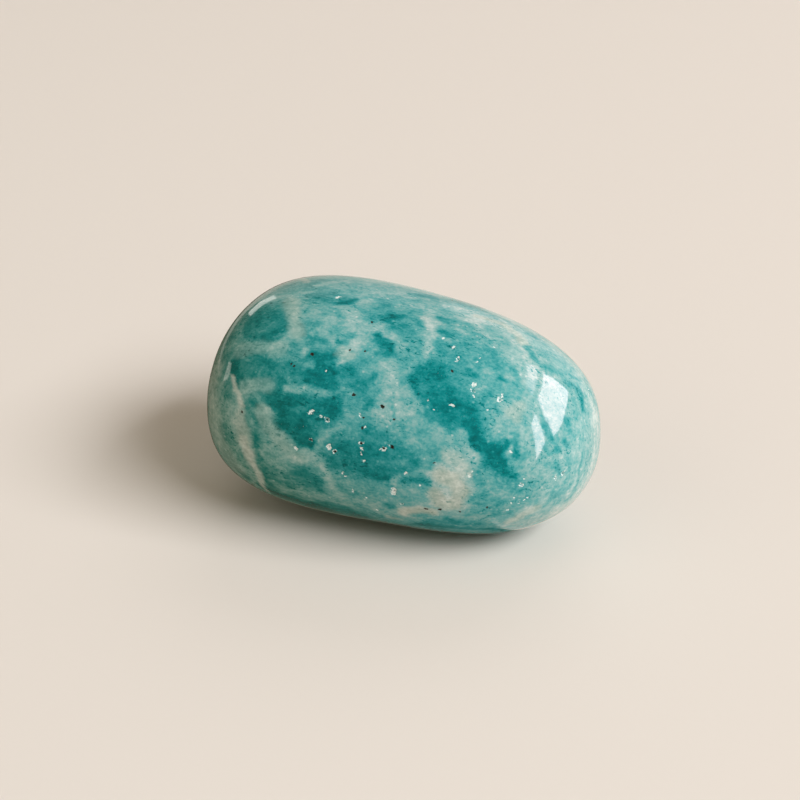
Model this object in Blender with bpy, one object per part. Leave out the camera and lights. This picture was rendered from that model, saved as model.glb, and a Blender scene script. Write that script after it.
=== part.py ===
"""Tumbled amazonite pebble: one polished stone that rests on a small flat spot.

Blender 4.5, metres, +Z up. X is the stone's length. The blunt end is at -X and
the slimmer, rounder end is at +X. The origin is on the resting surface, under
the middle of the stone.
"""

import bmesh
import bpy
from mathutils import Vector

# Driving dimensions of the stone, in metres
HALF_LENGTH = 0.0155
HALF_WIDTH = 0.01025
HALF_HEIGHT = 0.00880
REST_CUT = 0.00014          # how much the small flat underneath takes off
END_DROP = 0.00050          # how far the slimmer end hangs below the blunt one, each way

# Roundness: 2 is an ellipse, more is squarer
BLUNT_END_POWER = 3.4
SLIM_END_POWER = 2.55
SECTION_POWER = 2.15
END_CHANGE_REACH = 0.35     # share of the half length over which the two ends blend

# How much width and height the slim end loses and the blunt end gains, as a share
WIDTH_TAPER = 0.14
HEIGHT_TAPER = 0.03

# Places that tumbling wore down more (positive) or less (negative) than the even form:
# the direction from the middle, the depth in metres, and the fall in the cosine of the
# angle to that direction over which the depth halves
WORN_PLACES = (
    ("crown, full middle", (-0.16, 0.55, 0.82), -0.00014, 0.040),
    ("crown, flatter towards the blunt end", (-0.64, 0.33, 0.69), 0.00012, 0.050),
    ("front underside, flat middle", (0.18, -0.55, -0.82), 0.00016, 0.050),
    ("front underside, full towards the slim end", (0.52, -0.41, -0.75), -0.00013, 0.050),
    ("front underside, full towards the blunt end", (-0.26, -0.61, -0.75), -0.00010, 0.050),
    ("slim end, flatter above", (0.94, 0.33, 0.11), 0.00009, 0.050),
    ("slim end, fuller below", (0.97, 0.10, -0.22), -0.00008, 0.040),
    ("back, a broad flat side", (0.15, 0.98, 0.05), 0.00040, 0.200),
    ("back, low corner of the blunt end", (-0.75, 0.55, -0.35), 0.00025, 0.090),
    ("front, full low corner of the blunt end", (-0.85, -0.35, -0.40), -0.00008, 0.070),
)

ICO_SUBDIVISIONS = 5
MERGE_DISTANCE = 0.00004

STONE_COLOUR = (0.13, 0.42, 0.38, 1.0)
STONE_ROUGHNESS = 0.12
STONE_IOR = 1.53


def clear_scene():
    for old in list(bpy.data.objects):
        bpy.data.objects.remove(old)


def end_power(along):
    """The end's squareness changes smoothly from the blunt end to the slim one."""
    share = min(max(0.5 + 0.5 * along / END_CHANGE_REACH, 0.0), 1.0)
    share = share * share * (3.0 - 2.0 * share)
    return BLUNT_END_POWER + (SLIM_END_POWER - BLUNT_END_POWER) * share


def wear_depth(direction):
    """How far the tumbling has moved the surface in at this direction."""
    depth = 0.0
    for _name, place, most, reach in WORN_PLACES:
        cosine_drop = 1.0 - direction.dot(Vector(place).normalized())
        depth += most * 2.0 ** (-cosine_drop / reach)
    return depth


def stone_point(direction):
    """The pebble's surface point for a unit direction from its middle."""
    power = end_power(direction.x)
    across = abs(direction.y) ** SECTION_POWER + abs(direction.z) ** SECTION_POWER
    size = (across ** (power / SECTION_POWER) + abs(direction.x) ** power) ** (-1.0 / power)
    unit = direction * size
    point = Vector((
        HALF_LENGTH * unit.x,
        HALF_WIDTH * unit.y * (1.0 - WIDTH_TAPER * unit.x),
        HALF_HEIGHT * unit.z * (1.0 - HEIGHT_TAPER * unit.x) - END_DROP * unit.x,
    ))
    return point - direction * wear_depth(direction)


def cut_rest_spot(bm):
    """Takes the lowest part off level, so that the stone has a small flat to rest on."""
    lowest = min(vert.co.z for vert in bm.verts)
    bmesh.ops.bisect_plane(
        bm,
        geom=bm.verts[:] + bm.edges[:] + bm.faces[:],
        plane_co=(0.0, 0.0, lowest + REST_CUT),
        plane_no=(0.0, 0.0, -1.0),
        clear_outer=True,
    )
    rim = [edge for edge in bm.edges if edge.is_boundary]
    bmesh.ops.holes_fill(bm, edges=rim, sides=0)
    bmesh.ops.remove_doubles(bm, verts=bm.verts[:], dist=MERGE_DISTANCE)


def centre_on_floor(bm):
    """Puts the flat at height 0 and the middle of the stone's box over the origin."""
    xs = [vert.co.x for vert in bm.verts]
    ys = [vert.co.y for vert in bm.verts]
    zs = [vert.co.z for vert in bm.verts]
    middle = Vector(((min(xs) + max(xs)) / 2.0, (min(ys) + max(ys)) / 2.0, min(zs)))
    bmesh.ops.translate(bm, verts=bm.verts[:], vec=-middle)


def stone_material():
    material = bpy.data.materials.new("polished amazonite")
    material.use_nodes = True
    shader = material.node_tree.nodes["Principled BSDF"]
    shader.inputs["Base Color"].default_value = STONE_COLOUR
    shader.inputs["Roughness"].default_value = STONE_ROUGHNESS
    shader.inputs["Metallic"].default_value = 0.0
    shader.inputs["IOR"].default_value = STONE_IOR
    return material


def make_stone(collection):
    bm = bmesh.new()
    bmesh.ops.create_icosphere(bm, subdivisions=ICO_SUBDIVISIONS, radius=1.0)
    for vert in bm.verts:
        vert.co = stone_point(vert.co.normalized())
    cut_rest_spot(bm)
    centre_on_floor(bm)
    bmesh.ops.recalc_face_normals(bm, faces=bm.faces[:])
    mesh = bpy.data.meshes.new("amazonite_pebble")
    bm.to_mesh(mesh)
    bm.free()
    mesh.shade_smooth()
    mesh.materials.append(stone_material())
    stone = bpy.data.objects.new("amazonite_pebble", mesh)
    collection.objects.link(stone)
    return stone


def main():
    clear_scene()
    collection = bpy.data.collections.new("tumbled amazonite")
    bpy.context.scene.collection.children.link(collection)
    make_stone(collection)


main()
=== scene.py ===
"""The looks of a tumbled amazonite pebble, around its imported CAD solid.

Metres, +Z up. X is the stone's length, with the slimmer end at +X. The side that the
photograph shows faces -Y. Streaks, patches and pits that the photograph shows are given by
their pixel in its 800 x 800 frame, and are put on the stone where the camera sees them.
"""

import math

import bmesh
import bpy
import numpy as np
from mathutils import Matrix, Vector, noise
from mathutils.bvhtree import BVHTree


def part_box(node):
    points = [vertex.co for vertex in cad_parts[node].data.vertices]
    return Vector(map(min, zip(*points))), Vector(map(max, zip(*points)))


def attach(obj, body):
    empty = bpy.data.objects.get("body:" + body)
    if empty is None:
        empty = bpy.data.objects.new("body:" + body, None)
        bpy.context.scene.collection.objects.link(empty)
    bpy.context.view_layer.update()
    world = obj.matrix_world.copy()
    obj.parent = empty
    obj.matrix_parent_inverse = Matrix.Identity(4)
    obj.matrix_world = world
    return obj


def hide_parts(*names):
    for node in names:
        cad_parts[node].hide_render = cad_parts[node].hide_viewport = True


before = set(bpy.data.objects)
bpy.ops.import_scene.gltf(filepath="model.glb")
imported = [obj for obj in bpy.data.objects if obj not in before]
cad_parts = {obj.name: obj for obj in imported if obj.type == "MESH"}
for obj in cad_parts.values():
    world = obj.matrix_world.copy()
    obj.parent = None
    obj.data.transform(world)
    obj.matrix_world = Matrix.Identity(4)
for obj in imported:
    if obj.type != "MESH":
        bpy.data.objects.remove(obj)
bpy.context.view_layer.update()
NODE = "amazonite_pebble"
LOW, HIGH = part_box(NODE)
MM = 0.001

# The pebble's form, as the CAD solid has it
HALF_LENGTH = 15.5 * MM
HALF_WIDTH = 10.25 * MM
HALF_HEIGHT = 8.8 * MM
REST_CUT = 0.14 * MM
END_DROP = 0.5 * MM
BLUNT_END_POWER = 3.4
SLIM_END_POWER = 2.55
SECTION_POWER = 2.15
END_CHANGE_REACH = 0.35
WIDTH_TAPER = 0.14
HEIGHT_TAPER = 0.03
# Direction from the middle, depth, and the fall in cosine over which the depth halves
WORN_PLACES = (
    ((-0.16, 0.55, 0.82), -0.14 * MM, 0.040),
    ((-0.64, 0.33, 0.69), 0.12 * MM, 0.050),
    ((0.18, -0.55, -0.82), 0.16 * MM, 0.050),
    ((0.52, -0.41, -0.75), -0.13 * MM, 0.050),
    ((-0.26, -0.61, -0.75), -0.10 * MM, 0.050),
    ((0.94, 0.33, 0.11), 0.09 * MM, 0.050),
    ((0.97, 0.10, -0.22), -0.08 * MM, 0.040),
    ((0.15, 0.98, 0.05), 0.40 * MM, 0.200),
    ((-0.75, 0.55, -0.35), 0.25 * MM, 0.090),
    ((-0.85, -0.35, -0.40), -0.08 * MM, 0.070),
)
GRID_CUTS = 99              # cuts across each face of the cube that the pebble starts from
WAVINESS = 0.010 * MM       # slow ups and downs that tumbling leaves in the polish
WAVE_LENGTH = 3.2 * MM
CALM_HEIGHT = 0.6 * MM      # the waves fade out over this height towards the rest spot
NOISE_SEED = 3              # the library's noise is different in each run without one
noise.seed_set(NOISE_SEED)

# The camera: a 90 mm lens on a 36 mm frame, 160 mm from the stone, looking down 30 degrees
LENS_MM = 90.0
FRAME_MM = 36.0
IMAGE_SIDE = 800
CAMERA_DISTANCE = 160.3 * MM
CAMERA_AZIMUTH = math.radians(22.0)
CAMERA_ELEVATION = math.radians(30.0)
STONE_MIDDLE_PIXEL = (410.0, 406.5)
NEAREST_SHOWN = 5 * MM


def smoothstep(low, high, value):
    share = np.clip((value - low) / (high - low), 0.0, 1.0)
    return share * share * (3.0 - 2.0 * share)


def add_object(name, data):
    new = bpy.data.objects.new(name, data)
    bpy.context.scene.collection.objects.link(new)
    return new


def add_shape(name, bm):
    """Puts the shape that was being made into the scene as an object."""
    mesh = bpy.data.meshes.new(name)
    bm.to_mesh(mesh)
    bm.free()
    return add_object(name, mesh)


# Camera

class PhotoCamera:
    """The camera's place and axes, and the way through each pixel of the photograph."""

    def __init__(self):
        sin_a, cos_a = math.sin(CAMERA_AZIMUTH), math.cos(CAMERA_AZIMUTH)
        sin_e, cos_e = math.sin(CAMERA_ELEVATION), math.cos(CAMERA_ELEVATION)
        self.back = Vector((sin_a * cos_e, -cos_a * cos_e, sin_e))
        self.right = Vector((cos_a, sin_a, 0.0))
        self.up = self.back.cross(self.right)
        self.focal_pixels = LENS_MM / FRAME_MM * IMAGE_SIDE
        pixel = CAMERA_DISTANCE / self.focal_pixels
        middle = Vector((0.0, 0.0, HIGH.z / 2.0))
        aim = middle - self.right * (STONE_MIDDLE_PIXEL[0] - IMAGE_SIDE / 2) * pixel
        aim += self.up * (STONE_MIDDLE_PIXEL[1] - IMAGE_SIDE / 2) * pixel
        self.place = aim + self.back * CAMERA_DISTANCE

    def way(self, pixel):
        """The direction from the camera through a pixel of the photograph."""
        x = (pixel[0] - IMAGE_SIDE / 2) / self.focal_pixels
        y = (IMAGE_SIDE / 2 - pixel[1]) / self.focal_pixels
        return (self.right * x + self.up * y - self.back).normalized()

    def add(self):
        data = bpy.data.cameras.new("photo camera")
        data.lens = LENS_MM
        data.sensor_width = FRAME_MM
        data.clip_start = NEAREST_SHOWN
        camera = add_object("photo camera", data)
        camera.location = self.place
        camera.rotation_euler = self.back.to_track_quat("Z", "Y").to_euler()
        bpy.context.scene.camera = camera


# Form

def pebble_form(direction):
    """Points of the pebble's even form, before it is fitted to the solid, for unit directions."""
    along = direction[:, 0]
    share = smoothstep(-END_CHANGE_REACH, END_CHANGE_REACH, along)
    power = BLUNT_END_POWER + (SLIM_END_POWER - BLUNT_END_POWER) * share
    across = np.abs(direction[:, 1]) ** SECTION_POWER + np.abs(direction[:, 2]) ** SECTION_POWER
    size = (across ** (power / SECTION_POWER) + np.abs(along) ** power) ** (-1.0 / power)
    unit = direction * size[:, None]
    x = HALF_LENGTH * unit[:, 0]
    y = HALF_WIDTH * unit[:, 1] * (1.0 - WIDTH_TAPER * unit[:, 0])
    z = HALF_HEIGHT * unit[:, 2] * (1.0 - HEIGHT_TAPER * unit[:, 0]) - END_DROP * unit[:, 0]
    points = np.stack((x, y, z), axis=1)
    wear = np.zeros(len(direction))
    for place, depth, reach in WORN_PLACES:
        place = np.array(Vector(place).normalized())
        wear += depth * 2.0 ** (-(1.0 - direction @ place) / reach)
    return points - direction * wear[:, None]


def fit_to_solid(points):
    """Moves and scales the form into the CAD solid's box and presses its rest spot flat."""
    low = points.min(axis=0)
    high = points.max(axis=0)
    low[2] += REST_CUT
    size = (np.array(HIGH) - np.array(LOW)) / (high - low)
    fitted = np.array(LOW) + (points - low) * size
    fitted[:, 2] = np.maximum(fitted[:, 2], LOW.z)
    return fitted


def vertex_places(bm):
    return np.array([vert.co[:] for vert in bm.verts])


def pebble_body():
    """A finely cut cube, turned into an evenly cut ball and then into the pebble."""
    bm = bmesh.new()
    bmesh.ops.create_cube(bm, size=2.0)
    bmesh.ops.subdivide_edges(bm, edges=bm.edges[:], cuts=GRID_CUTS, use_grid_fill=True)
    cube = vertex_places(bm)
    ball = np.tan(cube * math.pi / 4.0)
    ball /= np.linalg.norm(ball, axis=1)[:, None]
    points = fit_to_solid(pebble_form(ball))
    above_rest = smoothstep(0.0, CALM_HEIGHT, points[:, 2] - LOW.z)
    for vert, point, outward, free in zip(bm.verts, points, ball, above_rest):
        wave = noise.fractal(Vector(point) / WAVE_LENGTH, 1.0, 2.0, 2)
        vert.co = Vector(point) + Vector(outward) * (wave * WAVINESS * free)
    bmesh.ops.recalc_face_normals(bm, faces=bm.faces[:])
    bm.normal_update()
    return bm


# Markings. A cloud or a stroke is a line of pixels, then its half width in hundredths of a
# millimetre and its tone in hundredths. Where it tapers, the half width is a pair, for its start
# and its end. Tone 0 is the palest streaked white, 1 a deep blue-green, and above 1 the deepest.
HUNDREDTHS = 100.0
PAINTED = ("tone", "warmth", "white", "rust_and_pit_shade")
BASE_TONE = 0.46
DEEPEST_TONE = 1.15
# Slow noise under the clouds and strokes, and for patches where the photograph doesn't show the
# stone: its size, where in the noise it starts, its fall and step from octave to octave, octaves
BROAD_NOISE = (3.4 * MM, (4.2, 1.7, 9.1), 0.9, 2.1, 3)
PATCH_NOISE = (4.6 * MM, (2.3, 8.8, 0.6), 0.8, 2.1, 4)
BROAD_CHANGE = 0.12
DEEP_PATCH, DEEP_PATCH_EDGE = 0.36, (0.08, 0.34)
PALE_PATCH, PALE_PATCH_EDGE = 0.34, (0.06, 0.34)
SEEN_EDGE = (0.02, 0.22)    # cosine to the camera over which the patches give way
# Painted shade: the underside, where it turns down to the floor, is drawn towards a deep tone
UNDERSIDE_SHADE_TONE, UNDERSIDE_SHADE_SHARE, UNDERSIDE_SHADE_EDGE = 0.82, 0.8, (0.45, 0.85)
CLOUD_FALL = 0.69           # a cloud is about half as strong at its half width
# How a stroke fades out, as shares of its half width, and a share that is far outside it
TONE_EDGE = (0.25, 1.75)
WARM_EDGE = (0.5, 1.5)
FAR_SHARE = 9.0
# The noise that loosens the edges of what is drawn: its size, how far it moves them, its seed
LOOSENINGS = ((1.1 * MM, 0.26 * MM, 1.0), (0.42 * MM, 0.12 * MM, 2.0))
SEED_STEPS = (3.1, 7.7, 1.3)    # how far apart in the noise two seeds start

# Broad clouds of colour with no edge
CLOUDS = (
    # The slim end as a whole is paler, partly its own colour and partly painted light, where the key
    # falls from that side and under the window's reflection
    ((505, 345), (530, 375), (560, 430), (545, 480), (520, 505), 300, 28),
    ((440, 308), (480, 330), 180, 36),
    # Blunt end and upper left. Their deep tones are partly their own colour and partly painted shade,
    # where this side lies in shadow
    ((214, 375), (212, 410), (218, 440), 90, 34), ((228, 340), (226, 362), 60, 62),
    ((262, 316), (276, 322), (264, 332), 150, 86), ((240, 346), (262, 346), (284, 350), 90, 56),
    ((240, 366), (262, 366), (288, 370), 110, 86),
    ((238, 386), (258, 386), (276, 384), (70, 60), 60),
    ((300, 312), (318, 320), (330, 335), 160, 36), ((304, 330), (318, 345), (110, 100), 48),
    # Crown. Its pale clouds along the top edge are partly its own colour and partly painted sheen, the
    # pale band that the polish mirrors there
    ((320, 298), (345, 300), (90, 80), 60), ((352, 318), (360, 340), 110, 26),
    ((384, 312), (404, 322), (412, 340), 110, 56), ((384, 346), (398, 358), (110, 90), 56),
    ((430, 318), (430, 345), (70, 30), 14),
    ((452, 330), (470, 350), (492, 366), (505, 385), 170, 55),
    ((470, 318), (500, 324), (520, 340), (528, 362), (534, 384), 110, 10),
    ((540, 350), (566, 374), 70, 36),
    # The right rim is pale partly in its own colour and partly as painted reflection of the bright
    # floor that its polish mirrors
    ((560, 352), (584, 384), (596, 420), (593, 460), (580, 492), (556, 512), (120, 100), 6),
    # Middle
    ((344, 368), (358, 378), (366, 392), (110, 120), 76),
    ((388, 372), (396, 395), (392, 412), (130, 120), 30),
    ((318, 366), (322, 378), (130, 110), 97), ((286, 400), (312, 410), (334, 408), 110, 97),
    ((296, 424), (306, 432), (120, 100), 98),
    ((428, 376), (444, 394), (462, 412), (474, 432), (130, 110), 96),
    ((490, 452), (500, 466), (512, 474), (100, 90), 92),
    ((345, 450), (375, 450), (400, 456), (140, 120), 86), ((352, 468), (392, 472), 80, 80),
    ((408, 412), (424, 428), (440, 446), 120, 42), ((452, 470), (456, 486), (450, 504), 140, 14),
    ((355, 414), (352, 428), 80, 56),
    # Slim end
    ((506, 414), (520, 420), (100, 90), 26), ((530, 410), (545, 430), (560, 440), (150, 140), 28),
    ((536, 470), (530, 500), (160, 150), 36), ((488, 500), (510, 492), 130, 50),
    ((548, 480), (542, 505), 50, 30),
    # Low on the stone
    ((262, 430), (276, 455), (90, 110), 44), ((248, 405), (258, 425), 60, 60),
    ((226, 440), (232, 460), 70, 62), ((268, 474), (290, 480), (310, 478), (90, 110), 74),
    ((344, 486), (368, 490), (392, 488), 90, 52), ((312, 508), (345, 512), 50, 72),
    ((378, 508), (410, 514), 60, 28), ((442, 522), (480, 524), 60, 66),
)

TONE_STROKES = (
    # Upper left, with a dark patch, the pale band round it and what lies under them. The deep strokes
    # here are partly painted shade, where this side lies in shadow
    ((262, 308), (276, 304), (288, 306), 40, 66), ((288, 306), (289, 319), 45, 72),
    ((260, 320), (272, 317), (280, 322), 80, 82), ((271, 314), (275, 319), 30, 92),
    ((260, 323), (265, 326), 28, 88), ((248, 322), (247, 336), 34, 90),
    ((253, 335), (264, 338), 36, 84), ((265, 337), (274, 333), (284, 329), 40, 100),
    ((268, 340), (272, 341), 24, 96), ((280, 336), (276, 342), 30, 66),
    ((257, 305), (266, 301), 22, 80), ((232, 350), (250, 346), (268, 347), 36, 62),
    ((272, 348), (286, 342), (293, 332), 42, 40),
    ((296, 300), (293, 314), (297, 328), (40, 46), 26),
    ((304, 306), (318, 312), (332, 318), (50, 46), 36), ((312, 304), (306, 312), 26, 56),
    ((300, 325), (306, 330), (34, 30), 62), ((308, 322), (318, 326), 26, 64),
    ((303, 335), (311, 338), 26, 64), ((314, 338), (324, 342), 22, 66),
    ((292, 346), (300, 350), 26, 66), ((320, 330), (334, 336), (340, 348), 42, 30),
    ((305, 353), (310, 358), (307, 362), 32, 26), ((272, 354), (284, 358), 34, 58),
    ((236, 360), (234, 372), (240, 382), (44, 40), 108), ((246, 364), (256, 362), 34, 84),
    ((254, 370), (266, 374), 30, 84), ((260, 359), (272, 362), 28, 84),
    ((279, 379), (284, 384), (40, 32), 96), ((284, 370), (296, 374), 34, 78),
    ((296, 380), (290, 388), 30, 60), ((248, 382), (262, 380), (270, 384), 30, 50),
    ((250, 390), (256, 394), (258, 398), (40, 34), 50), ((250, 404), (254, 414), 42, 96),
    ((287, 390), (302, 388), (318, 392), (342, 393), (34, 36), 38),
    ((308, 358), (316, 356), (326, 358), (334, 356), 36, 92),
    ((316, 364), (330, 368), (328, 380), (314, 378), 60, 100),
    ((328, 384), (334, 390), (32, 30), 94), ((312, 346), (322, 350), 22, 62),
    # Crown. Its pale strokes along the top edge are partly its own colour and partly painted sheen,
    # the whitish band that the polish mirrors there
    ((262, 297), (280, 291), (302, 288), 30, 54), ((300, 286), (312, 284), 34, 66),
    ((268, 300), (292, 295), (312, 292), 22, 26), ((318, 285), (340, 281), (368, 284), 34, 22),
    ((318, 297), (330, 294), (34, 30), 74), ((326, 301), (342, 302), 34, 62),
    ((338, 304), (348, 303), (356, 300), (30, 26), 96), ((324, 314), (334, 312), (34, 30), 50),
    ((338, 313), (344, 320), 30, 50), ((330, 306), (345, 309), 14, 24),
    ((348, 311), (356, 320), (362, 334), (356, 348), (46, 52), 20),
    ((336, 331), (344, 335), (350, 337), (32, 28), 84), ((340, 342), (346, 344), 24, 80),
    ((362, 306), (378, 304), 30, 34), ((364, 312), (376, 316), 30, 54),
    ((382, 300), (388, 308), (36, 32), 64), ((391, 315), (398, 318), (404, 315), (30, 24), 100),
    ((384, 318), (392, 326), (34, 32), 84), ((400, 324), (408, 328), (32, 30), 84),
    ((408, 330), (418, 340), (30, 28), 66), ((412, 314), (420, 324), 28, 56),
    ((379, 336), (385, 342), (391, 351), (36, 44), 94), ((378, 352), (388, 356), 30, 78),
    ((366, 330), (378, 326), (392, 336), (402, 348), (24, 32), 28),
    ((404, 356), (404, 366), (34, 32), 64), ((398, 366), (392, 360), 30, 42),
    ((366, 292), (400, 294), (432, 302), (462, 312), 36, 26),
    ((400, 306), (420, 306), (440, 314), 24, 34), ((418, 300), (440, 304), 20, 50),
    ((430, 318), (431, 331), (429, 346), (426, 358), (68, 14), 10),
    ((426, 358), (416, 364), (406, 376), (28, 36), 26), ((416, 350), (420, 358), 26, 62),
    ((443, 332), (447, 336), (34, 30), 88), ((440, 318), (452, 322), (32, 30), 62),
    ((456, 328), (466, 333), (30, 28), 26), ((478, 316), (494, 322), (510, 332), 50, 12),
    ((482, 328), (496, 330), 30, 30),
    # Middle
    ((344, 350), (358, 355), 44, 30), ((364, 358), (382, 363), 40, 60),
    ((339, 360), (348, 362), (40, 36), 30), ((346, 364), (352, 372), 30, 90),
    ((338, 378), (346, 384), 26, 74), ((358, 380), (368, 384), (374, 376), (42, 36), 82),
    ((354, 392), (366, 398), (40, 36), 66), ((344, 392), (350, 402), (350, 416), 40, 50),
    ((370, 402), (368, 408), 30, 84), ((360, 404), (356, 414), 30, 50),
    ((386, 366), (391, 379), (392, 392), 56, 20),
    ((382, 404), (398, 402), (410, 410), (44, 50), 25),
    ((376, 414), (388, 418), (400, 416), 40, 20), ((380, 424), (392, 422), 20, 36),
    ((394, 420), (390, 407), 13, 60), ((404, 424), (418, 436), 26, 40),
    ((270, 396), (277, 395), (280, 404), (36, 44), 100),
    ((292, 398), (312, 402), (330, 403), 36, 96),
    ((284, 414), (300, 416), (318, 412), (336, 412), (50, 44), 98),
    ((280, 424), (292, 432), (306, 430), 46, 100), ((308, 440), (304, 440), (34, 30), 100),
    ((296, 408), (306, 410), 26, 78), ((290, 444), (300, 450), 40, 64),
    ((317, 446), (324, 438), (333, 432), (342, 426), 36, 40), ((334, 436), (344, 432), 32, 70),
    ((368, 430), (378, 435), (386, 436), 34, 84), ((344, 448), (356, 450), (366, 448), 46, 92),
    ((328, 457), (336, 464), (350, 468), 40, 90),
    ((388, 454), (402, 456), (414, 460), (44, 40), 80), ((396, 466), (404, 462), 28, 60),
    ((366, 473), (378, 475), (390, 478), 34, 98),
    ((406, 482), (412, 478), (426, 480), (40, 36), 78), ((424, 448), (440, 450), 24, 42),
    # The broad deep band to the right of the middle, and what lies round it
    ((420, 368), (430, 366), (440, 372), 50, 92), ((418, 380), (432, 384), (448, 388), 60, 93),
    ((424, 396), (440, 400), (458, 402), (56, 60), 93),
    ((419, 389), (423, 400), (430, 410), 30, 80), ((430, 410), (440, 420), (452, 427), 36, 84),
    ((460, 434), (466, 446), (472, 458), 34, 22), ((440, 408), (456, 416), (470, 422), 50, 94),
    ((472, 424), (475, 438), (480, 448), (46, 40), 100), ((468, 412), (476, 408), 34, 100),
    ((426, 412), (432, 418), 30, 80), ((448, 366), (456, 378), (462, 392), 40, 68),
    ((440, 342), (452, 350), (462, 354), (36, 34), 64), ((470, 372), (476, 376), (32, 28), 86),
    ((480, 352), (490, 350), (496, 358), (498, 364), 32, 62), ((512, 368), (516, 379), 28, 56),
    ((500, 379), (506, 382), 22, 80), ((488, 392), (480, 402), 40, 70),
    ((484, 368), (488, 372), 34, 34), ((496, 384), (500, 388), 30, 46),
    ((504, 396), (518, 394), (522, 384), 40, 54), ((466, 362), (474, 360), 26, 60),
    ((508, 350), (518, 358), (524, 372), (528, 388), 40, 20),
    ((510, 409), (521, 407), (516, 418), (42, 40), 26),
    ((498, 418), (500, 428), (508, 424), (40, 36), 34), ((484, 428), (490, 438), 32, 44),
    ((497, 438), (506, 434), (516, 428), 30, 32), ((484, 448), (494, 452), (504, 450), 40, 100),
    ((492, 462), (502, 462), 50, 100), ((508, 438), (508, 446), 26, 100),
    ((513, 436), (518, 446), (517, 455), (24, 28), 98),
    ((506, 472), (514, 478), (518, 470), (32, 26), 96), ((513, 448), (511, 460), 24, 40),
    ((476, 474), (484, 482), 36, 62), ((478, 456), (474, 466), 30, 34),
    # Slim end. Its pale streaks along the right rim are partly its own colour and partly painted
    # reflection of the bright floor
    ((526, 346), (532, 352), (534, 358), 28, 64), ((524, 332), (536, 338), 18, 62),
    ((534, 360), (548, 368), (560, 374), (570, 384), 30, 54), ((530, 342), (545, 350), 20, 30),
    ((577, 387), (581, 397), (583, 409), (34, 28), 74),
    ((574, 384), (586, 398), (590, 412), 14, 36), ((566, 418), (570, 430), 30, 54),
    ((554, 449), (560, 451), (26, 24), 76), ((546, 459), (556, 463), 28, 22),
    ((565, 442), (568, 445), (24, 22), 76), ((545, 420), (547, 434), (552, 442), 26, 56),
    ((556, 462), (560, 472), 24, 58), ((577, 440), (579, 462), (575, 482), (568, 494), 20, 12),
    ((584, 430), (586, 450), (583, 468), 13, 20), ((588, 404), (592, 425), (591, 445), 16, 20),
    ((582, 452), (581, 468), (575, 488), 14, 52),
    ((592, 450), (586, 470), (577, 488), (566, 500), 14, 50),
    ((568, 455), (569, 470), (563, 486), (553, 500), 24, 50),
    ((550, 482), (544, 498), (534, 512), 26, 24), ((557, 486), (550, 500), (545, 506), 20, 56),
    ((526, 508), (538, 514), (530, 522), (40, 36), 24),
    ((520, 470), (530, 484), (524, 500), (46, 44), 46), ((486, 496), (484, 508), 36, 66),
    ((476, 498), (480, 512), 34, 56), ((500, 488), (512, 486), 34, 50),
    ((496, 516), (510, 514), 40, 60),
    # Lower middle
    ((432, 450), (430, 466), 46, 58), ((446, 456), (460, 464), 46, 28),
    ((434, 478), (448, 476), (462, 478), 52, 6),
    ((440, 496), (456, 492), (462, 500), (52, 46), 2), ((428, 494), (434, 506), 40, 14),
    ((404, 510), (418, 508), 36, 18), ((345, 482), (362, 484), 44, 46),
    ((334, 494), (348, 498), (362, 502), 32, 32), ((370, 504), (378, 508), 30, 34),
    ((384, 503), (392, 506), (28, 26), 74), ((412, 490), (422, 498), 30, 36),
    ((446, 518), (458, 522), 26, 84), ((428, 520), (440, 524), 20, 66),
    ((396, 481), (400, 492), 34, 34), ((468, 477), (470, 491), (467, 504), 42, 20),
    ((398, 435), (410, 438), 32, 30),
    # The low rim, deep all along: painted shade, the dark contact shading where the stone meets the
    # floor
    ((262, 486), (280, 495), (302, 502), (345, 512), (44, 90), 110),
    ((345, 512), (368, 517), (90, 50), 96),
    ((420, 524), (440, 526), (480, 529), (512, 529), (50, 16), 92),
    # Smaller strokes over those above, all over the stone
    ((224, 453), (232, 464), (246, 477), 40, 84), ((256, 404), (260, 411), 34, 98),
    # The pale stroke along the top edge at the right is partly painted sheen
    ((289, 449), (303, 455), 40, 66), ((446, 306), (472, 312), (500, 323), 36, 14),
    ((315, 501), (332, 505), (348, 507), (34, 30), 86), ((222, 428), (224, 440), 38, 72),
    ((268, 400), (274, 406), (30, 36), 100), ((256, 343), (268, 346), 28, 60),
    ((250, 372), (270, 378), 36, 80), ((293, 352), (300, 355), 28, 68),
    ((300, 439), (311, 444), (40, 36), 105), ((492, 403), (498, 412), 34, 60),
    ((242, 384), (246, 398), 28, 34), ((249, 414), (252, 424), 26, 40),
    ((260, 440), (262, 452), 28, 72), ((398, 346), (402, 355), 26, 36),
    ((536, 350), (545, 362), 28, 26), ((408, 384), (414, 398), (420, 410), 26, 40),
    ((374, 386), (377, 396), 26, 62), ((437, 346), (444, 356), 26, 66),
    ((418, 318), (421, 326), 24, 60), ((336, 318), (341, 328), (345, 338), 28, 52),
    ((334, 328), (337, 333), 22, 40), ((308, 361), (313, 366), 22, 60),
    ((248, 436), (251, 447), 24, 42), ((252, 472), (262, 482), (26, 22), 44),
    ((506, 431), (512, 437), 26, 40), ((490, 424), (497, 432), 26, 34),
    ((494, 516), (504, 522), 32, 62), ((461, 478), (465, 490), (465, 503), 42, 12),
    ((476, 500), (490, 506), (500, 500), 60, 58), ((544, 446), (550, 453), 24, 66),
    ((562, 404), (566, 414), 22, 32), ((425, 456), (429, 462), 24, 40),
    ((434, 456), (442, 462), 26, 50),
    # Lower left
    ((226, 384), (230, 396), 34, 64), ((246, 400), (251, 409), (258, 414), 28, 62),
    ((255, 432), (256, 445), (259, 458), 30, 82), ((262, 468), (266, 480), (274, 488), 36, 78),
    ((265, 412), (269, 424), (276, 434), (286, 446), (28, 40), 40),
    ((270, 440), (276, 450), (284, 460), 40, 36), ((262, 452), (272, 456), 26, 48),
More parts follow.
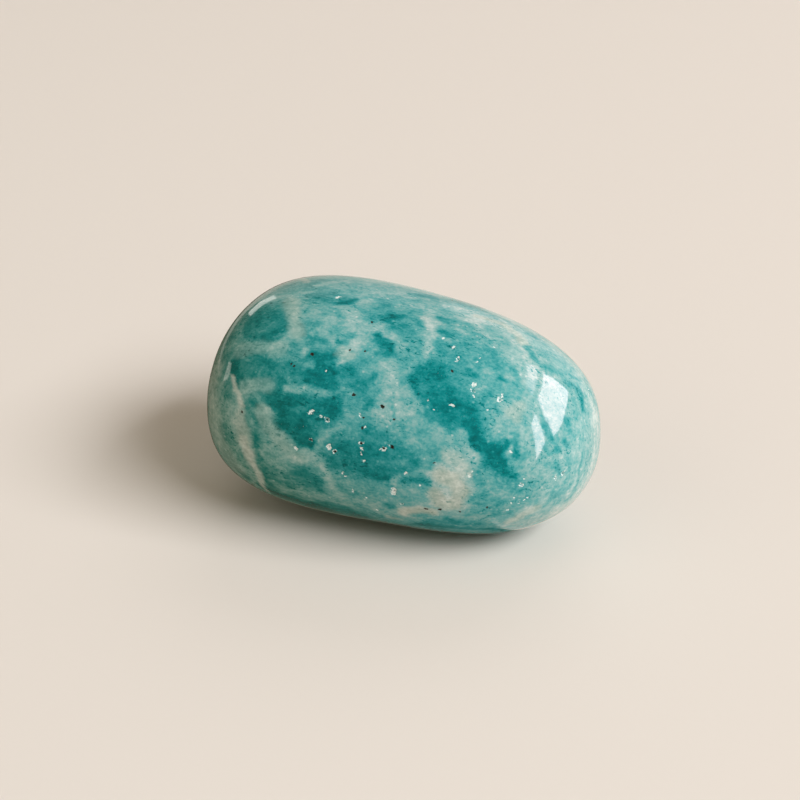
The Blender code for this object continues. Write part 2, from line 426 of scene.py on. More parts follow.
    ((294, 474), (308, 474), (318, 481), (319, 490), (34, 40), 84),
    ((280, 478), (290, 482), 30, 60), ((294, 459), (308, 462), (320, 464), 34, 42),
    ((306, 452), (318, 462), (326, 474), (330, 486), (40, 36), 26),
    ((292, 490), (302, 491), (24, 22), 34), ((304, 498), (320, 502), 26, 60),
)

# The cream vein round the blunt end and the beige patches, with warmth in place of tone, and painted
# reflection: warm haze of the shadowed floor over the blunt end's shaded side
WARM_STROKES = (
    # Painted reflection: the warm haze of the shadowed floor on the blunt end, in this line and the
    # next
    ((214, 372), (212, 405), (219, 440), (234, 464), (120, 90), 30),
    ((240, 350), (262, 347), (282, 349), (60, 50), 18),
    ((290, 300), (294, 318), (298, 334), 60, 35),
    # Painted reflection of the same warm haze, in this line and the first stroke of the next
    ((244, 388), (256, 384), (268, 386), (60, 50), 20),
    ((262, 412), (270, 428), (284, 446), (300, 458), 60, 28), ((240, 423), (243, 432), 66, 50),
    ((231, 376), (236, 390), (241, 406), (14, 26), 80),
    ((240, 414), (242, 428), (243, 440), (50, 76), 55),
    ((243, 438), (248, 452), (253, 466), (52, 44), 90),
    ((253, 464), (259, 476), (265, 487), (268, 492), (40, 10), 85),
    ((442, 476), (454, 480), (461, 492), (456, 504), (442, 504), (434, 492), (66, 56), 70),
    ((446, 456), (458, 462), (466, 474), 50, 30), ((404, 512), (420, 510), (434, 512), 44, 80),
    ((386, 516), (400, 519), 26, 50),
    # Along the top edge at the right: partly beige colour and partly painted reflection of the cloth
    ((476, 316), (500, 323), (514, 331), (523, 343), (40, 36), 60),
    ((508, 522), (522, 515), (536, 508), 36, 50),
    ((511, 411), (521, 406), (517, 418), (46, 40), 35), ((340, 352), (352, 356), (50, 40), 30),
)

# Pits and chips that the polish left: pixel, radius in hundredths of a millimetre, and kind. A
# chip is white all over, a pit is white with a deeper middle, a dark-cored one is white round a
# dark hole, and a hole is dark all over. The white is partly painted glint where fractures catch
# the light, and the dark is brown stain and painted shade in the hollow.
PITS = (
    ((394, 492), 36, "chip"), ((311, 412), 24, "chip"), ((321, 416), 14, "chip"),
    ((327, 420), 26, "pit"), ((329, 447), 29, "chip"), ((334.5, 451.5), 20, "rusty_and_shaded"),
    ((361, 443), 19, "rusty_and_shaded"), ((361.5, 449), 19, "chip"), ((361, 453.5), 13, "chip"),
    ((364, 461), 15, "chip"), ((383.5, 449), 24, "rusty_and_shaded"), ((388.5, 445), 14, "chip"),
    ((392, 447), 15, "hole"), ((342.5, 473), 15, "chip"), ((345.5, 476), 12, "pit"),
    ((311, 440), 19, "rusty_and_shaded"), ((296, 448.5), 18, "chip"), ((362, 428), 10, "hole"),
    ((365, 427), 13, "chip"), ((363.5, 417.5), 8, "hole"), ((360, 415), 16, "pit"),
    ((353, 491), 16, "chip"), ((405.5, 473.5), 15, "chip"), ((402, 504), 16, "pit"),
    ((377, 510), 15, "chip"), ((453.5, 347), 20, "chip"), ((458, 359), 26, "pit"),
    ((474, 385), 23, "chip"), ((473, 391), 19, "pit"), ((474, 396), 13, "chip"),
    ((500, 399), 30, "pit"), ((502, 394.5), 13, "chip"), ((452, 405.5), 18, "chip"),
    ((494, 347), 11, "chip"), ((480, 358), 10, "chip"), ((477, 362), 10, "chip"),
    ((487.5, 410), 10, "chip"), ((510.5, 451.5), 13, "chip"), ((469.5, 476), 17, "chip"),
    ((472, 472), 11, "chip"), ((521, 485), 19, "pit"), ((524, 479), 9, "chip"),
    ((555, 478), 20, "pit"), ((563, 473), 24, "pit"), ((508, 510), 14, "chip"),
    ((511, 503), 9, "chip"), ((514, 498), 10, "chip"), ((519, 503), 14, "pit"),
    ((524, 500), 10, "chip"), ((527.5, 497.5), 12, "chip"), ((443, 338), 15, "chip"),
    ((326, 371), 10, "chip"), ((428, 400), 11, "chip"), ((434, 409.5), 10, "chip"),
    ((366, 497.5), 11, "chip"), ((420, 485.5), 11, "chip"), ((338, 297), 24, "chip"),
    ((372, 322), 11, "hole"), ((312, 354), 13, "hole"), ((291, 364), 10, "hole"),
    ((294, 366), 10, "hole"), ((353.5, 395), 15, "hole"), ((382, 406.5), 15, "hole"),
    ((350, 350), 10, "hole"), ((365, 351), 9, "hole"), ((440, 509.5), 14, "hole"),
    ((426, 509), 12, "hole"), ((460, 512), 10, "hole"), ((487, 507.5), 10, "hole"),
    ((434, 463), 9, "hole"), ((394, 419.5), 9, "hole"), ((452, 371), 11, "hole"),
    ((242, 412), 8, "hole"),
)
# What a kind does: its depth, as a share of its radius, all over and in its core; how white it is
# and the share of that which its core loses; and how dark it is all over and in its core, with
# brown stain and painted shade
PIT_KINDS = {
    "chip": (0.16, 0.0, 1.0, 0.0, 0.0, 0.25),
    "pit": (0.0, 0.34, 1.0, 0.75, 0.0, 0.35),
    "rusty_and_shaded": (0.0, 0.4, 1.0, 1.0, 0.0, 1.0),
    "hole": (0.45, 0.0, 0.0, 0.0, 1.2, 0.0),
}
# A pit's shape. Its reaches, sizes and edges are shares of its radius.
FINER_REACH = 1.5           # faces are cut finer up to here
PIT_REACH = 2.0
RAGGED_SIZE, RAGGED_AMOUNT, RAGGED_SEED_STEP = 0.7, 0.6, 0.37
LONGWAYS_TURN = 2.4         # each pit is longer in another direction
LONGWAYS_RISE = 0.3
LONGWAYS_GAIN = 0.4
PIT_NARROWING = 1.15
PIT_EDGE = (0.55, 1.05)
CORE_EDGE = (0.25, 0.62)

# The sides that the photograph doesn't show, by azimuth and elevation in degrees from the
# middle. Azimuth 0 is the slim end, 90 the back and 180 the blunt end.
HIDDEN_CLOUDS = (
    ((38, 38), (62, 26), (84, 6), (104, -18), (150, 120), 14),
    ((128, 34), (146, 26), (160, 6), (140, 110), 20), ((20, -2), (34, -18), (130, 120), 22),
    ((68, 46), (92, 36), (112, 26), (180, 160), 92),
    ((122, 2), (138, -6), (150, -18), (190, 150), 94),
    ((26, 18), (44, 4), (62, -10), (140, 120), 90), ((96, 12), (112, 6), (100, 90), 60),
    ((76, -20), (86, -32), (140, 120), 80), ((112, -28), (132, -34), (130, 120), 26),
    ((168, 34), (174, 12), (172, -14), (120, 100), 72), ((8, 30), (10, 8), (4, -18), 90, 30),
    ((94, 62), (140, 58), 140, 30),
)
HIDDEN_STROKES = (
    ((44, 30), (58, 24), (72, 14), (42, 36), 4), ((82, 2), (92, -8), (98, -20), (46, 34), 6),
    ((70, 40), (80, 36), (92, 34), (50, 44), 100),
    ((98, 28), (108, 22), (114, 14), (46, 30), 100), ((88, 24), (92, 18), (90, 12), (30, 24), 88),
    ((78, 28), (84, 24), 26, 34), ((102, 36), (110, 34), (24, 22), 36),
    ((124, 4), (132, 0), (140, -8), (56, 50), 100),
    ((134, -14), (142, -20), (152, -22), (44, 34), 100),
    ((130, 8), (138, 8), (144, 4), (28, 24), 90), ((128, -8), (134, -10), (24, 22), 42),
    ((146, 2), (150, -6), (152, -12), (24, 20), 30), ((30, 14), (42, 6), (52, -4), (44, 40), 100),
    ((38, 16), (46, 14), (26, 24), 90), ((54, -8), (62, -14), (64, -22), (34, 26), 96),
    ((34, 6), (40, -2), 22, 40), ((104, 2), (112, -6), (110, -16), (28, 24), 72),
    ((116, 16), (122, 20), (128, 16), (26, 24), 30),
    ((74, -16), (80, -24), (88, -30), (34, 30), 92),
    ((98, -26), (106, -30), (114, -28), (26, 24), 24),
    ((134, 30), (144, 28), (150, 20), (38, 32), 12),
    ((152, 18), (158, 10), (160, 0), (30, 24), 18),
    ((164, 28), (168, 18), (172, 10), (34, 30), 90), ((176, 24), (178, 8), (176, -8), 26, 84),
    ((160, -14), (168, -20), (174, -24), (30, 26), 36),
    ((16, 8), (20, -4), (18, -16), (24, 22), 16), ((4, 22), (8, 12), (8, 0), (18, 16), 52),
    ((0, 16), (2, 4), (-2, -10), 14, 20), ((60, 36), (66, 34), (22, 20), 66),
    ((46, -16), (52, -26), (30, 26), 34), ((28, -12), (36, -24), (36, 30), 12),
    ((92, 50), (110, 48), (124, 44), (34, 30), 66), ((84, 66), (110, 70), (40, 36), 62),
    ((116, 54), (136, 50), (28, 26), 20),
)
HIDDEN_WARM_STROKES = (
    ((168, 40), (159, 27), (164, 12), (161, -4), (170, -16), (177, -30), (30, 75), 50),
    ((106, -20), (116, -24), (124, -32), (80, 60), 65), ((56, 22), (66, 20), (50, 40), 35),
    ((24, -14), (32, -22), (50, 44), 45),
)
HIDDEN_PITS = (
    ((84, 32), 22, "chip"), ((87, 29), 14, "chip"), ((104, 18), 26, "pit"),
    ((108, 21), 14, "chip"), ((78, 8), 15, "hole"), ((96, -2), 12, "hole"),
    ((128, -3), 24, "rusty_and_shaded"), ((131, -6), 15, "chip"), ((140, -12), 26, "chip"),
    ((144, -16), 16, "pit"), ((120, 10), 11, "hole"), ((44, 2), 24, "pit"),
    ((47, -1), 12, "chip"), ((36, 12), 15, "chip"), ((58, -14), 19, "chip"),
    ((63, 12), 13, "hole"), ((66, 30), 12, "chip"), ((90, -28), 20, "chip"),
    ((86, -22), 12, "chip"), ((152, 22), 13, "hole"), ((150, -2), 12, "chip"),
    ((170, 14), 18, "chip"), ((176, -6), 14, "hole"), ((14, 4), 16, "chip"),
    ((22, -10), 11, "hole"), ((8, 14), 10, "chip"), ((112, 44), 16, "chip"),
    ((130, 38), 11, "hole"), ((100, 52), 13, "chip"), ((118, -14), 10, "hole"),
    ((74, 20), 10, "hole"), ((50, 30), 12, "hole"),
)

# Glowing cards that only the polish shows: the pixels that mirror their corners, their radiance
# and their colour
CARD_DISTANCE = 0.5
POLISH_PATCH = 0.6 * MM     # the polish faces the mean direction over this radius
CARDS = (
    ("large card, far half", ((543, 373), (568, 391), (566, 407), (553, 437), (544, 418), (537, 399)),
     8.6, "#ffdce1"),
    ("large card, near half, top", ((534.5, 412.5), (537, 417), (540.5, 425), (544.3, 437),
     (533.3, 436), (530.3, 425)), 8.6, "#ffe0e4"),
    ("large card, near half, foot", ((533.3, 436), (544.3, 437), (545, 443), (541, 451), (536, 460),
     (535, 448)), 8.6, "#ffe0e4"),
    ("narrow card above", ((526, 363), (535, 366), (537, 380), (532, 398), (526, 384)),
     3.6, "#ffe4e9"),
    ("edge card behind the blunt end", ((248, 313), (260, 302), (275, 295), (277, 298), (262, 306),
     (251, 316)), 2.2, "#fff6ee"),
    ("edge card beside the blunt end", ((229, 361), (232, 363), (230, 373), (227, 380), (223.5, 381),
     (226, 371)), 2.6, "#fff2e4"),
)

# Light panels. Walls and lit floors show only in the polish, softboxes light everything else.
# Walls and softboxes: direction, distance, size in metres, radiance, and a softbox's colour
WALLS = (
    ("pale wall behind, wide", (-0.09, 0.94, 0.26), 0.8, (1.16, 0.44), 0.3),
    ("pale wall behind, narrow", (0.1, 0.96, 0.2), 0.79, (0.6, 0.3), 0.35),
)
SOFTBOXES = (
    ("key softbox", (0.728, -0.16, 0.667), 1.6, (1.22, 0.62), 12.8, "#fbfdff"),
    ("fill from the left front", (-0.55, -0.6, 0.58), 1.5, (1.2, 1.0), 0.6, "#f4f6f2"),
    ("fill from behind", (-0.05, 0.75, 0.66), 1.5, (1.2, 0.8), 1.2, "#fbfdff"),
)
# Lit floors: middle, size in metres and radiance
LIT_FLOORS = (
    ("lit floor behind", (0.335, 0.45), (0.73, 0.872), 0.78),
    ("dimmer floor behind", (-0.27, 0.45), (0.48, 0.8), 0.58),
    ("lit floor beside the slim end", (0.31, 0.003), (0.6, 0.022), 0.78),
)
LIT_FLOOR_HEIGHT = -0.5 * MM
LIT_FLOOR_COLOUR = "#f4eadf"
FLOOR_RADIUS = 2.5


def on_stone(camera, tree, pixel):
    """The point and the outward direction of the stone's surface behind a pixel."""
    place, outward, _face, _distance = tree.ray_cast(camera.place, camera.way(pixel))
    if place is None:
        raise ValueError(f"pixel {pixel} isn't on the stone")
    return place, outward


def round_stone(tree, angles):
    """The point and the outward direction at an azimuth and an elevation from the middle."""
    azimuth, elevation = math.radians(angles[0]), math.radians(angles[1])
    level = math.cos(elevation)
    way = Vector((math.cos(azimuth) * level, math.sin(azimuth) * level, math.sin(elevation)))
    middle = (LOW + HIGH) / 2.0
    place, outward, _face, _distance = tree.ray_cast(middle + way * 2.0 * HALF_LENGTH, -way)
    return place, outward


def placed(camera, tree, seen, hidden):
    """The strokes of both lists as points on the stone, both half widths, and tone or warmth."""
    lines = [([on_stone(camera, tree, pixel)[0] for pixel in line], width, value)
             for *line, width, value in seen]
    lines += [([round_stone(tree, angles)[0] for angles in line], width, value)
              for *line, width, value in hidden]
    strokes = []
    for points, width, value in lines:
        start, end = width if isinstance(width, tuple) else (width, width)
        strokes.append((points, start / HUNDREDTHS, end / HUNDREDTHS, value / HUNDREDTHS))
    return strokes


def stroke_share(points, line, start_width, end_width):
    """Each point's distance from a line, as a share of the line's half width there."""
    best = np.full(len(points), FAR_SHARE)
    pieces = len(line) - 1
    for index in range(pieces):
        start, end = np.array(line[index]), np.array(line[index + 1])
        run = end - start
        share = np.clip(((points - start) @ run) / (run @ run), 0.0, 1.0)
        away = np.linalg.norm(points - start - share[:, None] * run, axis=1)
        along = (index + share) / pieces
        width = (start_width + (end_width - start_width) * along) * MM
        best = np.minimum(best, away / width)
    return best


def wander(points, size, amount, seed):
    """Points moved by smooth noise, so that what is drawn on them gets an uneven edge."""
    shift = Vector([seed * step for step in SEED_STEPS])
    moved = [noise.noise_vector(Vector(p) / size + shift) for p in points]
    return points + np.array(moved) * amount


def slow_noise(points, size, begin, fall, step, octaves):
    begin = Vector(begin)
    return np.array([noise.fractal(Vector(p) / size + begin, fall, step, octaves) for p in points])


def paint(camera, tree, points, outward):
    """Tone and warmth for each vertex, with painted shade drawn onto the underside."""
    loose = points
    for size, amount, seed in LOOSENINGS:
        loose = wander(loose, size, amount, seed)
    tone = BASE_TONE + slow_noise(loose, *BROAD_NOISE) * BROAD_CHANGE
    # Where the photograph doesn't show the stone, deep patches and pale clouds of the same kind
    patch = slow_noise(loose, *PATCH_NOISE)
    patches = DEEP_PATCH * smoothstep(*DEEP_PATCH_EDGE, patch)
    patches -= PALE_PATCH * smoothstep(*PALE_PATCH_EDGE, -patch)
    tone += patches * (1.0 - smoothstep(*SEEN_EDGE, outward @ np.array(camera.back)))
    # Painted shade: the underside is drawn towards a deep tone
    below = smoothstep(*UNDERSIDE_SHADE_EDGE, -outward[:, 2])
    tone += (UNDERSIDE_SHADE_TONE - tone) * UNDERSIDE_SHADE_SHARE * below
    warmth = np.zeros(len(points))
    for line, start, end, value in placed(camera, tree, CLOUDS, HIDDEN_CLOUDS):
        weight = np.exp(-CLOUD_FALL * stroke_share(loose, line, start, end) ** 2)
        tone += (value - tone) * weight
    for line, start, end, value in placed(camera, tree, TONE_STROKES, HIDDEN_STROKES):
        weight = 1.0 - smoothstep(*TONE_EDGE, stroke_share(loose, line, start, end))
        tone += (value - tone) * weight
    for line, start, end, value in placed(camera, tree, WARM_STROKES, HIDDEN_WARM_STROKES):
        weight = 1.0 - smoothstep(*WARM_EDGE, stroke_share(loose, line, start, end))
        warmth = np.maximum(warmth, weight * value)
    return np.clip(tone, 0.0, DEEPEST_TONE), warmth


def pit_list(camera, tree):
    """Every pit's place, outward direction, radius in metres, kind and seed."""
    pits = []
    for pixel, radius, kind in PITS:
        pits.append((*on_stone(camera, tree, pixel), radius / HUNDREDTHS * MM, kind, len(pits)))
    for angles, radius, kind in HIDDEN_PITS:
        pits.append((*round_stone(tree, angles), radius / HUNDREDTHS * MM, kind, len(pits)))
    return pits


def refine_around(bm, pits):
    """Cuts the faces round each pit finer, so that its edge is real shape."""
    faces = set()
    lookup = BVHTree.FromBMesh(bm)
    for place, _outward, radius, _kind, _seed in pits:
        for _co, _normal, index, _distance in lookup.find_nearest_range(place, radius * FINER_REACH):
            faces.add(index)
    bm.faces.ensure_lookup_table()
    bm.edges.index_update()
    edges = {edge for index in faces for edge in bm.faces[index].edges}
    edges = sorted(edges, key=lambda edge: edge.index)
    bmesh.ops.subdivide_edges(bm, edges=edges, cuts=2, use_grid_fill=True)


def carve_pits(bm, pits):
    """Presses the pits in and returns how white each vertex is, and how dark with brown stain and
    painted shade.
    """
    points = vertex_places(bm)
    white = np.zeros(len(points))
    rust_and_pit_shade = np.zeros(len(points))
    moves = np.zeros((len(points), 3))
    for place, outward, radius, kind, seed in pits:
        middle = np.array(place)
        near = np.nonzero(np.linalg.norm(points - middle, axis=1) < radius * PIT_REACH)[0]
        ragged = wander(points[near], radius * RAGGED_SIZE, radius * RAGGED_AMOUNT,
                        seed * RAGGED_SEED_STEP) - middle
        turn = seed * LONGWAYS_TURN
        longways = np.cross(np.array(outward), (math.cos(turn), LONGWAYS_RISE, math.sin(turn)))
        longways /= np.linalg.norm(longways)
        ragged -= np.outer(ragged @ longways, longways) * LONGWAYS_GAIN
        share = np.linalg.norm(ragged, axis=1) / radius * PIT_NARROWING
        inside = 1.0 - smoothstep(*PIT_EDGE, share)
        core = 1.0 - smoothstep(*CORE_EDGE, share)
        deep, deep_core, pale, pale_loss, rusty_and_shaded, rusty_and_shaded_core = PIT_KINDS[kind]
        depth = deep * inside + deep_core * core
        moves[near] -= np.array(outward) * (depth * radius)[:, None]
        white[near] = np.maximum(white[near], pale * inside * (1.0 - pale_loss * core))
        rust_and_pit_shade[near] = np.maximum(rust_and_pit_shade[near], rusty_and_shaded * inside + rusty_and_shaded_core * core)
    for vert, move in zip(bm.verts, moves):
        vert.co += Vector(move)
    return white, rust_and_pit_shade


def make_pebble(camera):
    bm = pebble_body()
    tree = BVHTree.FromBMesh(bm)
    pits = pit_list(camera, tree)
    refine_around(bm, pits)
    bm.normal_update()
    points = vertex_places(bm)
    outward = np.array([vert.normal[:] for vert in bm.verts])
    tone, warmth = paint(camera, tree, points, outward)
    white, rust_and_pit_shade = carve_pits(bm, pits)
    bmesh.ops.triangulate(bm, faces=bm.faces[:])
    stone = add_shape("amazonite_stone", bm)
    stone.data.shade_smooth()
    for name, values in zip(PAINTED, (tone, warmth, white, rust_and_pit_shade)):
        layer = stone.data.attributes.new(name, "FLOAT", "POINT")
        layer.data.foreach_set("value", values.astype(np.float32))
    return stone, tree


# Materials

def linear(hex_colour):
    """An sRGB hex colour as the linear colour that a shader's socket takes."""
    channels = [int(hex_colour[i:i + 2], 16) / 255.0 for i in (1, 3, 5)]
    return [c / 12.92 if c <= 0.04045 else ((c + 0.055) / 1.055) ** 2.4 for c in channels] + [1.0]


def add_node(tree, kind, inputs=None, stops=(), **settings):
    """Adds a shader node. An input is a value, or another node's output, which is linked to it."""
    new = tree.nodes.new("ShaderNode" + kind)
    for name, value in settings.items():
        setattr(new, name, value)
    for name, value in (inputs or {}).items():
        if isinstance(value, bpy.types.NodeSocket):
            tree.links.new(value, new.inputs[name])
        else:
            new.inputs[name].default_value = value
    for index, (position, colour) in enumerate(stops):
        if index > 1:
            new.color_ramp.elements.new(position)
        new.color_ramp.elements[index].position = position
        new.color_ramp.elements[index].color = linear(colour)
    return new.outputs


def new_material(name):
    """A material with its Principled shader."""
    material = bpy.data.materials.new(name)
    material.use_nodes = True
    return material, material.node_tree.nodes["Principled BSDF"]


def polished_amazonite():
    """Tumble-polished amazonite, a blue-green feldspar.

    The eye gets a glassy skin over streaky colour: fine white lamellae of albite lie in
    blue-green microcline, so every patch has a feathered edge and a fibrous grain.
    """
    material, shader = new_material("tumble-polished amazonite")
    tree = material.node_tree
    place = add_node(tree, "TexCoord")["Object"]
    tone, warmth, white, rust_and_pit_shade = [
        add_node(tree, "Attribute", attribute_name=name)["Fac"] for name in PAINTED]

    # Crumbs some 0.09 mm across break up the edges of the pits: their white, partly painted glint, and
    # their dark cores, brown stain and painted shade
    crumbs = add_node(tree, "TexNoise", {
        "Vector": place, "Scale": 1.0 / (0.09 * MM), "Detail": 1.0, "Roughness": 0.5})["Fac"]
    white = add_node(tree, "Math", {0: crumbs, 1: 2.0, 2: white}, operation="MULTIPLY_ADD")[0]
    white = add_node(tree, "MapRange", {"Value": white, "From Min": 1.45, "From Max": 2.05},
                     interpolation_type="SMOOTHSTEP")["Result"]
    rust_and_pit_shade = add_node(tree, "Math", {0: crumbs, 1: -0.9, 2: rust_and_pit_shade}, operation="MULTIPLY_ADD")[0]
    rust_and_pit_shade = add_node(tree, "MapRange", {"Value": rust_and_pit_shade, "From Min": -0.22, "From Max": 0.10},
                    interpolation_type="SMOOTHSTEP")["Result"]

    # Each pattern: its grain in millimetres along and across the stone, its turn, how much it
    # changes the tone, and how much it wavers
    patterns = (
        (1.50, 1.20, (0.0, -0.25, 0.10), 0.75, 0.3),
        (0.75, 0.55, (0.5, 0.35, 0.60), 0.65, 0.4),
        (0.40, 0.28, (0.0, -0.15, 0.05), 0.55, 0.2),
        (0.22, 0.18, (0.2, 0.10, 0.00), 0.55, 0.0),
    )
    streaks = 0.0
    for along, across, turn, amount, waver in patterns:
        lie = add_node(tree, "Mapping", {
            "Vector": place, "Rotation": turn,
            "Scale": (1.0 / (along * MM), 1.0 / (across * MM), 1.0 / (across * MM))})["Vector"]
        grain = add_node(tree, "TexNoise", {
            "Vector": lie, "Scale": 1.0, "Detail": 4.0, "Roughness": 0.6, "Distortion": waver})["Fac"]
        centred = add_node(tree, "Math", {0: grain, 1: 0.5}, operation="SUBTRACT")[0]
        streaks = add_node(tree, "Math", {0: centred, 1: amount, 2: streaks},
                           operation="MULTIPLY_ADD")[0]

    # Dark flecks, some 0.3 mm long and gathered in swarms 2.5 mm apart
    lie = add_node(tree, "Mapping", {
        "Vector": place, "Rotation": (0.3, 0.5, 0.2),
        "Scale": (1.0 / (0.42 * MM), 1.0 / (0.20 * MM), 1.0 / (0.20 * MM))})["Vector"]
    flecks = add_node(tree, "TexNoise", {
        "Vector": lie, "Scale": 1.0, "Distortion": 0.8})["Fac"]
    flecks = add_node(tree, "MapRange", {
        "Value": flecks, "From Min": 0.58, "From Max": 0.68, "To Max": 0.50},
        interpolation_type="SMOOTHSTEP")["Result"]
    swarms = add_node(tree, "TexNoise", {
        "Vector": place, "Scale": 1.0 / (2.5 * MM)})["Fac"]
    swarms = add_node(tree, "MapRange", {
        "Value": swarms, "From Min": 0.46, "From Max": 0.62, "To Min": 0.05, "To Max": 1.0})["Result"]
    streaks = add_node(tree, "Math", {0: flecks, 1: swarms, 2: streaks}, operation="MULTIPLY_ADD")[0]

    # Pale specks under the polish, about 0.2 mm across and some 0.9 mm apart
    specks = add_node(tree, "TexVoronoi", {
        "Vector": place, "Scale": 1.0 / (0.9 * MM)})["Distance"]
    specks = add_node(tree, "MapRange", {
        "Value": specks, "From Min": 0.06, "From Max": 0.16, "To Min": -0.24, "To Max": 0.0},
        interpolation_type="SMOOTHSTEP")["Result"]
    streaks = add_node(tree, "Math", {0: streaks, 1: specks}, operation="ADD")[0]

    # The grain is a little weaker in the deepest patches. The tone goes from -0.1 to 1.2.
    reach = add_node(tree, "MapRange", {
        "Value": tone, "From Min": 0.55, "From Max": 1.0, "To Min": 1.0, "To Max": 0.80})["Result"]
    tone = add_node(tree, "Math", {0: streaks, 1: reach, 2: tone}, operation="MULTIPLY_ADD")[0]
    tone = add_node(tree, "MapRange", {"Value": tone, "From Min": -0.1, "From Max": 1.2})["Result"]
    colour = add_node(tree, "ValToRGB", {"Fac": tone}, stops=(
        (0.00, "#c2d2cf"), (0.08, "#b5c8c5"), (0.19, "#9abdbb"), (0.31, "#7fb1b0"), (0.46, "#58a5a6"),
        (0.62, "#319396"), (0.76, "#0c8587"), (0.86, "#007274"), (1.00, "#005f61")))["Color"]
    # Painted shade and bounce light: towards the blunt end and the underside, away from the key, a
    # shaded copy of the colours, more grey and green, stands for the warm floor's dim bounce and
    # reflection
    along = add_node(tree, "VectorMath", {0: place, 1: (-0.8, 0.0, -0.6)},
                     operation="DOT_PRODUCT")["Value"]
    blunt = add_node(tree, "MapRange", {
        "Value": along, "From Min": -9.0 * MM, "From Max": 6.0 * MM, "To Max": 0.90},
        interpolation_type="SMOOTHSTEP")["Result"]
    shaded_greyer = add_node(tree, "ValToRGB", {"Fac": tone}, stops=(
        (0.00, "#bccabf"), (0.19, "#98b4a8"), (0.31, "#83a497"), (0.46, "#659182"), (0.62, "#3f7b6c"),
        (0.76, "#1f6f62"), (0.86, "#0c6458"), (1.00, "#07564a")))["Color"]
    mottle = add_node(tree, "Math", {0: streaks, 1: -0.9, 2: 0.55}, operation="MULTIPLY_ADD")[0]
    cream = add_node(tree, "ValToRGB", {"Fac": mottle}, stops=(
        (0.25, "#97a598"), (0.50, "#b2bcb0"), (0.75, "#ccd3c8")))["Color"]
    # In a colour Mix, input 0 is the share, 6 and 7 are the two colours, and output 2 the result
    # The pits' white is partly painted glint, and their near-black cores are brown stain and painted
    # shade in the hollows
    over_it = ((blunt, shaded_greyer), (warmth, cream), (white, linear("#e2eae6")), (rust_and_pit_shade, linear("#26241a")))
    for share, over in over_it:
        colour = add_node(tree, "Mix", {0: share, 6: colour, 7: over}, data_type="RGBA")[2]
    tree.links.new(colour, shader.inputs["Base Color"])

    # Pinholes in the polish, about 0.1 mm across and some 0.6 mm apart
    cells = add_node(tree, "TexVoronoi", {
        "Vector": place, "Scale": 1.0 / (0.6 * MM)})["Distance"]
    depth = add_node(tree, "MapRange", {"Value": cells, "From Min": 0.05, "From Max": 0.13},
                     interpolation_type="SMOOTHSTEP")["Result"]
    skin = add_node(tree, "Math", {0: grain, 1: 0.10, 2: depth}, operation="MULTIPLY_ADD")[0]
    bump = add_node(tree, "Bump", {"Height": skin, "Strength": 0.25, "Distance": 0.02 * MM})["Normal"]
    tree.links.new(bump, shader.inputs["Normal"])
    rough = add_node(tree, "Math", {0: white, 1: 0.45, 2: 0.07}, operation="MULTIPLY_ADD")[0]
    rough = add_node(tree, "Math", {0: rust_and_pit_shade, 1: 0.40, 2: rough}, operation="MULTIPLY_ADD")[0]
    tree.links.new(rough, shader.inputs["Roughness"])
    shader.inputs["IOR"].default_value = 1.53
    shader.inputs["Subsurface Weight"].default_value = 0.15
    shader.inputs["Subsurface Radius"].default_value = (0.5, 1.0, 0.9)
    shader.inputs["Subsurface Scale"].default_value = 0.6 * MM
    return material


def pale_floor_material():
    """Matt pale card. The eye gets an even warm white without a shine."""
    material, shader = new_material("matt pale card")
    shader.inputs["Base Color"].default_value = linear("#dfd7d0")
    shader.inputs["Roughness"].default_value = 0.9
    shader.inputs["Specular IOR Level"].default_value = 0.2
    return material


def make_floor():
    bm = bmesh.new()
    bmesh.ops.create_circle(bm, cap_ends=True, segments=96, radius=FLOOR_RADIUS)
    floor = add_shape("floor", bm)
    floor.data.materials.append(pale_floor_material())
    floor.visible_glossy = False
    return floor


# Light

def add_panel(name, centre, across, up, size, radiance, colour, hidden_from):
    """A soft rectangular light with its middle and its two edge directions, in metres.

    It shines along its own -Z, so its Z axis is turned away from the stone.
    """
    across = Vector(across).normalized()
    facing = across.cross(Vector(up)).normalized()
    if facing.dot(Vector(centre)) < 0.0:
        across = -across
        facing = -facing
    data = bpy.data.lights.new(name, "AREA")
    data.shape = "RECTANGLE"
    data.size, data.size_y = size
    data.energy = radiance * math.pi * size[0] * size[1]
    data.color = linear(colour)[:3]
    light = add_object(name, data)
    turn = Matrix((across, facing.cross(across), facing)).transposed()
    light.matrix_world = Matrix.Translation(Vector(centre)) @ turn.to_4x4()
    light.visible_camera = False
    for ray in hidden_from:
        setattr(light, "visible_" + ray, False)


def facing_panel(name, direction, distance, size, radiance, colour, hidden_from):
    """A panel that faces the stone, level along its width."""
    direction = Vector(direction).normalized()
    across = Vector((-direction.y, direction.x, 0.0))
    up = direction.cross(across)
    add_panel(name, direction * distance, across, up, size, radiance, colour, hidden_from)


def mirrored_place(camera, tree, pixel):
    """The place, half a metre off, that the stone's polish mirrors at a pixel."""
    place, _outward = on_stone(camera, tree, pixel)
    faces = tree.find_nearest_range(place, POLISH_PATCH)
    outward = sum((normal for _co, normal, _index, _distance in faces), Vector()).normalized()
    sight = (place - camera.place).normalized()
    return place + sight.reflect(outward) * CARD_DISTANCE


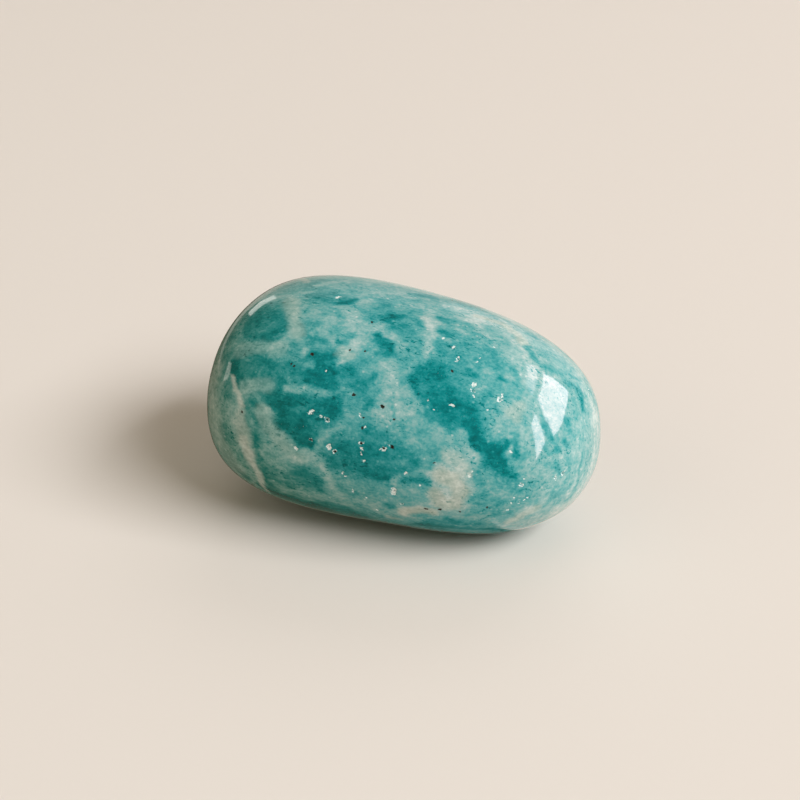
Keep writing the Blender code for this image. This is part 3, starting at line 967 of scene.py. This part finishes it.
def add_card(name, camera, tree, pixels, radiance, colour):
    """A glowing card that shows only in the polish, with its corners mirrored at these pixels."""
    bm = bmesh.new()
    corners = [bm.verts.new(mirrored_place(camera, tree, pixel)) for pixel in pixels]
    bmesh.ops.contextual_create(bm, geom=corners)
    card = add_shape(name, bm)
    glow, shader = new_material("glowing diffuser card")
    shader.inputs["Base Color"].default_value = linear("#000000")
    shader.inputs["Specular IOR Level"].default_value = 0.0
    shader.inputs["Emission Color"].default_value = linear(colour)
    shader.inputs["Emission Strength"].default_value = radiance
    card.data.materials.append(glow)
    for ray in ("camera", "diffuse", "transmission", "volume_scatter", "shadow"):
        setattr(card, "visible_" + ray, False)


def add_lights(camera, tree):
    """Panels that show only in the polish, and softer ones that give the light and the shadow."""
    for name, pixels, radiance, colour in CARDS:
        add_card(name, camera, tree, pixels, radiance, colour)
    polish_only = ("diffuse", "transmission")
    for name, direction, distance, size, radiance in WALLS:
        facing_panel(name, direction, distance, size, radiance, "#ffffff", polish_only)
    for name, middle, size, radiance in LIT_FLOORS:
        add_panel(name, (*middle, LIT_FLOOR_HEIGHT), (1.0, 0.0, 0.0), (0.0, -1.0, 0.0), size,
                  radiance, LIT_FLOOR_COLOUR, polish_only)
    for name, direction, distance, size, radiance, colour in SOFTBOXES:
        facing_panel(name, direction, distance, size, radiance, colour, ("glossy",))


def add_world():
    """A pale studio all round, warmer and dimmer as a light than it looks behind the stone."""
    world = bpy.data.worlds.new("pale studio")
    world.use_nodes = True
    background = world.node_tree.nodes["Background"]
    rays = add_node(world.node_tree, "LightPath")
    strength = add_node(world.node_tree, "MapRange", {
        "Value": rays["Is Glossy Ray"], "To Min": 0.28, "To Max": 0.12})["Result"]
    strength = add_node(world.node_tree, "Math", {
        0: rays["Is Camera Ray"], 1: 0.52, 2: strength}, operation="MULTIPLY_ADD")[0]
    world.node_tree.links.new(strength, background.inputs["Strength"])
    colour = add_node(world.node_tree, "Mix", {
        0: rays["Is Camera Ray"], 6: linear("#f6e2bd"), 7: linear("#ece7e1")}, data_type="RGBA")[2]
    world.node_tree.links.new(colour, background.inputs["Color"])
    bpy.context.scene.world = world
    bpy.context.scene.view_settings.view_transform = "Standard"


camera = PhotoCamera()
camera.add()
stone, polished_tree = make_pebble(camera)
stone.data.materials.append(polished_amazonite())
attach(stone, "root")
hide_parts(NODE)
floor = make_floor()
add_lights(camera, polished_tree)
add_world()
